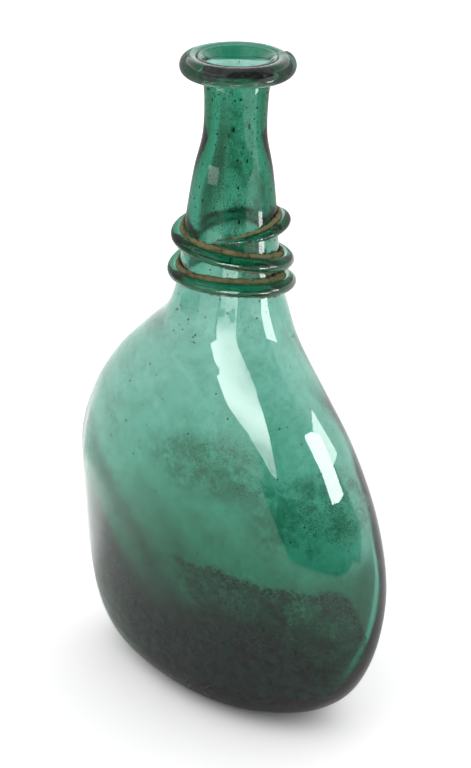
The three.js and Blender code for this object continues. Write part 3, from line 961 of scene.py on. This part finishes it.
def seed_dark():
    """The near black that a seed shows against the light."""
    paint = Paint("seed_dark")
    dark = paint.mix(paint.noise(SEED_SHADE_SIZE), *SEED_COLOURS)
    return paint.surface(paint.node("BsdfPrincipled", sockets={"Base Color": dark, "Roughness": 0.5}))


seeds = scatter_seeds()
seeds.data.materials.append(seed_dark())
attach(seeds, "root")


# The view. The flask is seen from its near, low-bellied end and a little from above,
# with its plain broad side to the left and its saddle side hidden.
VIEW_AZIMUTH = np.radians(40.6)
VIEW_ELEVATION = np.radians(25.1)
VIEW_ROLL = np.radians(1.07)
VIEW_DISTANCE = 700 * MM
VIEW_ASIDE = 2.46 * MM
VIEW_ABOVE = 0.3 * MM
FRAME_HEIGHT_PIXELS = 768
FOCAL_PIXELS = 1995
SENSOR_HEIGHT = 24
VIEW_PIVOT = np.array([1.809, 2.626, 120]) * MM


def compass(azimuth, elevation=0.0):
    """Unit vector towards an azimuth, counted from -Y towards +X, and an elevation."""
    level = np.cos(elevation)
    return np.array([np.sin(azimuth) * level, -np.cos(azimuth) * level, np.sin(elevation)])


def look():
    """The camera: it stands on the line of view from the pivot and looks just beside it."""
    place = VIEW_PIVOT + compass(VIEW_AZIMUTH, VIEW_ELEVATION) * VIEW_DISTANCE
    right = Vector(compass(VIEW_AZIMUTH + np.pi / 2))
    up = Vector(compass(VIEW_AZIMUTH, VIEW_ELEVATION)).cross(right)
    target = Vector(VIEW_PIVOT) + right * VIEW_ASIDE + up * VIEW_ABOVE
    back = (Vector(place) - target).normalized()
    right = Vector((0, 0, 1)).cross(back).normalized()
    axes = Matrix((right, back.cross(right), back)).transposed() @ Matrix.Rotation(VIEW_ROLL, 3, "Z")
    camera = bpy.data.objects.new("camera", bpy.data.cameras.new("camera"))
    camera.matrix_world = Matrix.Translation(place) @ axes.to_4x4()
    camera.data.sensor_fit = "VERTICAL"
    camera.data.sensor_height = SENSOR_HEIGHT
    camera.data.lens = FOCAL_PIXELS / FRAME_HEIGHT_PIXELS * SENSOR_HEIGHT
    bpy.context.scene.collection.objects.link(camera)
    bpy.context.scene.camera = camera


look()
bpy.context.scene.view_settings.view_transform = "Standard"


# The place: a white table and a white studio round it. Towards the viewer the room is dark, with
# windows of light, and only what the glass mirrors or bends shows it.
FLOOR_HALF = 3.0
FLOOR_WHITE = 0.93
FLOOR_EXPOSED = 1.3
# Light of the floor as mirrored: near the flask, and beyond, with a pool of light at the far end
FLOOR_NEAR = 0.85
FLOOR_LIT = 1.15
FLOOR_LIT_BETWEEN = (0.08, 0.17)
POOL_CENTRE = (-0.16, 0.01, 0)
POOL_RADII = (0.09, 0.07, 0.05)
POOL_FULL_SHARE = 0.7
POOL_LIT = 0.8
FOOT_SHADE = 1.05
FOOT_SHADE_SHIFT = np.array([8, -1, 0]) * MM
FOOT_SHADE_RADII = (0.048, 0.03, 0.05)
# The table's two front edges: how far ahead of the flask they start, and their slope to the right
TABLE_EDGES = ((0.215, 1.0), (0.11, -2.17))
TABLE_EDGE_BETWEEN = (-0.01, 0.02)

# Light of the room as mirrored, low down and above, and the dark sector towards the viewer, whose
# lower edge rises to the right; all angles in degrees
ROOM_LIT = 1.6
ROOM_LIT_ABOVE = 0.5
ROOM_LIT_BETWEEN = (20, 45)
ROOM_DARK = 0.03
DARK_SIDES = (-20, 80)
DARK_SIDES_SOFT = 3
DARK_LOW = -10
DARK_LOW_SOFT = 1
DARK_RISE_FROM = 20
DARK_RISE = 0.27
BENT_DARK_SHARE = 0.7

# Each window: the place by the glass that mirrors it, its azimuth and elevation from there, its
# distance, its corners aside and upwards, all in millimetres, and its light at even heights from
# the bottom to the top
WINDOWS = (
    ((1, -15, 195), (-47, -2), 30, ((-22, 11.2), (5, 12.3), (4.5, 2), (-16, 0.2)), (2.4, 3.2)),
    ((20, -17, 135), (-8, 10), 40, (
        (-13, 22), (2, 20.5), (14, 17.5), (22, 18.5), (17, 10), (15.5, 0), (14.5, -14), (13.5, -37),
        (9.5, -35), (2, -23.5), (-7, -16.5), (-16, -15.5), (-26, -13), (-33, -5.5), (-17, 2.5)),
        (5, 6, 14, 10, 3)),
    ((18.5, -3, 152), (86, 0), 100, ((-27, -16), (-25, 15), (9, 13), (5, -18)), (11, 11)),
    ((48, -4, 107), (66, 22), 40, (
        (-9, 21), (5, 19.5), (17, 15), (10, 0), (3, -16), (-8, -17.5), (-21, -18), (-15, -4)), (18, 18)),
)

# Dark curved boards stand round the neck: their azimuths in degrees and heights in millimetres
BOARDS = (((-165, -52), (155, 260)), ((-52, -16), (174, 260)), ((74, 160), (166, 260)))
BOARD_RADIUS = 62 * MM
BOARD_STEPS = 24
BOARD_LIGHT = 0.45


def seen_axes(paint, vector):
    """The parts of a vector towards the viewer, to the viewer's right and upwards."""
    x, y, z = paint.axes(vector)
    front, right = compass(VIEW_AZIMUTH), compass(VIEW_AZIMUTH + np.pi / 2)
    return x * front[0] + y * front[1], x * right[0] + y * right[1], z


def bearings(paint, vector):
    """Azimuth from the viewer's side and elevation of a direction, in degrees."""
    ahead, aside, up = seen_axes(paint, vector)
    azimuth, elevation = aside.maths("ARCTAN2", aside, ahead), up.maths("ARCSINE", up)
    return azimuth * np.degrees(1), elevation * np.degrees(1)


def within(angle, low, high, soft):
    """1 between two angles and 0 outside them, with soft edges."""
    return (angle - low).step(-soft, soft) * (angle - high).step(soft, -soft)


def ray_is(paint, kind):
    """1 for rays of a kind, else 0; rays bent through glass count as glossy ones too."""
    return Number(paint, paint.node("LightPath").outputs[f"Is {kind} Ray"])


def ray_is_mirrored(paint):
    """1 for rays that a smooth surface has just mirrored, else 0."""
    return ray_is(paint, "Glossy") * (1 - ray_is(paint, "Transmission"))


def white_table():
    """A level white floor, which ends in two edges in front for rays that the glass mirrors or bends."""
    paint = Paint("white_table")
    ahead, aside, _ = seen_axes(paint, paint.place())
    right_edge, left_edge = (aside * slope + start for start, slope in TABLE_EDGES)
    gone = (ahead - right_edge.most(left_edge)).step(*TABLE_EDGE_BETWEEN) * ray_is(paint, "Glossy")
    far = paint.length(paint.place()).step(*FLOOR_LIT_BETWEEN)
    pool = paint.near(POOL_CENTRE, POOL_RADII).step(0, POOL_FULL_SHARE)
    lit = FLOOR_NEAR + (FLOOR_LIT - FLOOR_NEAR) * far + POOL_LIT * pool
    shade = paint.near(AXIS + FOOT_SHADE_SHIFT, FOOT_SHADE_RADII) * FOOT_SHADE
    white = ray_is(paint, "Camera") * (FLOOR_EXPOSED - FLOOR_WHITE) + FLOOR_WHITE - shade
    white = white + ray_is_mirrored(paint) * (lit - FLOOR_WHITE)
    cloth = paint.node("BsdfDiffuse", sockets={"Color": paint.grey(white)})
    dark = paint.node("Emission", sockets={"Color": CLEAR, "Strength": ROOM_DARK})
    return paint.surface(paint.over(gone, cloth, dark))


def lay_floor():
    """A level square under the flask."""
    half = FLOOR_HALF
    corners = [(-half, -half, 0), (half, -half, 0), (half, half, 0), (-half, half, 0)]
    floor = mesh_object("floor", corners, [[(0, 1, 2, 3)]])
    floor.data.materials.append(white_table())


def studio():
    """White all round; what glass mirrors or bends shows the dark sector towards the viewer."""
    world = bpy.data.worlds.new("studio")
    world.use_nodes = True
    bpy.context.scene.world = world
    paint = Paint("studio", world.node_tree)
    azimuth, elevation = bearings(paint, paint.node("TexCoord").outputs["Generated"])
    mirrored = ray_is_mirrored(paint)
    above = elevation.step(*ROOM_LIT_BETWEEN)
    lit = mirrored * (above * (ROOM_LIT_ABOVE - ROOM_LIT) + ROOM_LIT - 1) + 1
    low = (azimuth - DARK_RISE_FROM).most(0) * DARK_RISE + DARK_LOW
    dark = (elevation - low).step(-DARK_LOW_SOFT, DARK_LOW_SOFT)
    dark = dark * within(azimuth, *DARK_SIDES, DARK_SIDES_SOFT)
    dark = dark * (mirrored * (1 - BENT_DARK_SHARE) + BENT_DARK_SHARE) * ray_is(paint, "Glossy")
    grey = paint.grey(lit - dark * (lit - ROOM_DARK))
    sky = paint.node("Background", sockets={"Color": grey, "Strength": 1.0})
    paint.node("OutputWorld", sockets={"Surface": sky.outputs[0]})


def show_to_mirrors(card, paint, light):
    """Makes a card of the stage glow for mirrored rays and hides it from all others."""
    glow = paint.node("Emission", sockets={"Color": light, "Strength": 1.0})
    card.data.materials.append(paint.surface(glow))
    for kind in ("camera", "diffuse", "transmission", "volume_scatter", "shadow"):
        setattr(card, f"visible_{kind}", False)


def hang_window(index, mirrored_at, bearing, distance, corners, light):
    """A glowing card that faces the place that mirrors it, and that only mirrored rays see."""
    azimuth, elevation = np.radians(bearing)
    azimuth = azimuth + VIEW_AZIMUTH
    aside, up = compass(azimuth + np.pi / 2), compass(azimuth, elevation + np.pi / 2)
    middle = AXIS + (np.array(mirrored_at) + compass(azimuth, elevation) * distance) * MM
    corners = middle + np.array(corners) @ np.stack([aside, up]) * MM
    card = mesh_object(f"window_{index}", corners, [[range(len(corners))]])
    paint = Paint(f"window_{index}")
    height = paint.axes(paint.place())[2]
    levels = np.linspace(corners[:, 2].min(), corners[:, 2].max(), len(light))
    strength = light[0]
    for low, high, less, more in zip(levels, levels[1:], light, light[1:]):
        strength = strength + (more - less) * height.step(low, high)
    show_to_mirrors(card, paint, paint.grey(strength))


def stand_board(index, between, heights):
    """A dim board bent round the neck's axis, that only mirrored rays see."""
    turn = VIEW_AZIMUTH + np.radians(np.linspace(*between, BOARD_STEPS))
    edge = AXIS + BOARD_RADIUS * np.stack([np.sin(turn), -np.cos(turn), 0 * turn], -1)
    points = np.concatenate([edge + np.array([0, 0, height]) * MM for height in heights])
    low = np.arange(BOARD_STEPS - 1)
    faces = np.stack([low, low + 1, low + 1 + BOARD_STEPS, low + BOARD_STEPS], -1)
    board = mesh_object(f"board_{index}", points, [faces])
    show_to_mirrors(board, Paint(f"board_{index}"), colour(BOARD_LIGHT, BOARD_LIGHT, BOARD_LIGHT))


lay_floor()
studio()
for index, window in enumerate(WINDOWS):
    hang_window(index, *window)
for index, board in enumerate(BOARDS):
    stand_board(index, *board)
